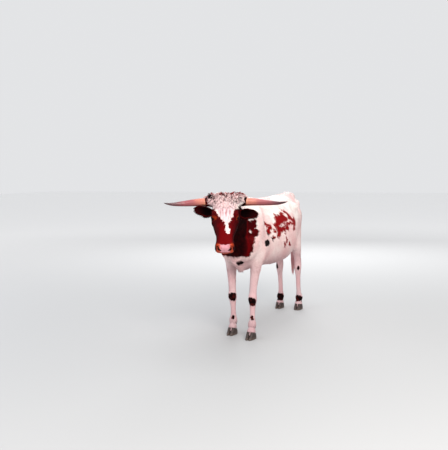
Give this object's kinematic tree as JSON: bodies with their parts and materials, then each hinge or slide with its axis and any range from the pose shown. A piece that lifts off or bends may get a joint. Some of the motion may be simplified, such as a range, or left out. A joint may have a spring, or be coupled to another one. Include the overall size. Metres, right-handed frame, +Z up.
{
  "type": "texas longhorn",
  "caption": "Life-size standing longhorn animal with long level horns, a red and white coat and its head turned to its left.",
  "frame": {"origin": "on the floor, below the middle of the animal's bounding box", "axes": "+Z up, the head towards -Y, the animal's own left towards +X"},
  "size_m": [0.9488, 2.0448, 1.3176],
  "materials": {
    "white_coat": "short flat hair, cream white with a pink cast, red patches",
    "red_coat": "short flat hair, deep red, white blaze and curly poll",
    "horn": "satin horn, cream at the base and dark at the tip",
    "hoof": "satin dark hoof horn",
    "eye": "wet and glossy"
  },
  "bodies": {
    "root": {"torso": "white_coat", "neck": "red_coat", "head": "red_coat", "left_ear": "red_coat", "right_ear": "red_coat", "left_eye": "eye", "right_eye": "eye", "left_horn": "horn", "right_horn": "horn", "tail": "white_coat", "left_fore_upper_leg": "white_coat", "left_fore_lower_leg": "white_coat", "left_fore_outer_claw": "hoof", "left_fore_outer_dewclaw": "hoof", "left_fore_inner_claw": "hoof", "left_fore_inner_dewclaw": "hoof", "right_fore_upper_leg": "white_coat", "right_fore_lower_leg": "white_coat", "right_fore_outer_claw": "hoof", "right_fore_outer_dewclaw": "hoof", "right_fore_inner_claw": "hoof", "right_fore_inner_dewclaw": "hoof", "left_hind_upper_leg": "white_coat", "left_hind_lower_leg": "white_coat", "left_hind_outer_claw": "hoof", "left_hind_outer_dewclaw": "hoof", "left_hind_inner_claw": "hoof", "left_hind_inner_dewclaw": "hoof", "right_hind_upper_leg": "white_coat", "right_hind_lower_leg": "white_coat", "right_hind_outer_claw": "hoof", "right_hind_outer_dewclaw": "hoof", "right_hind_inner_claw": "hoof", "right_hind_inner_dewclaw": "hoof"}
  },
  "joints": []
}
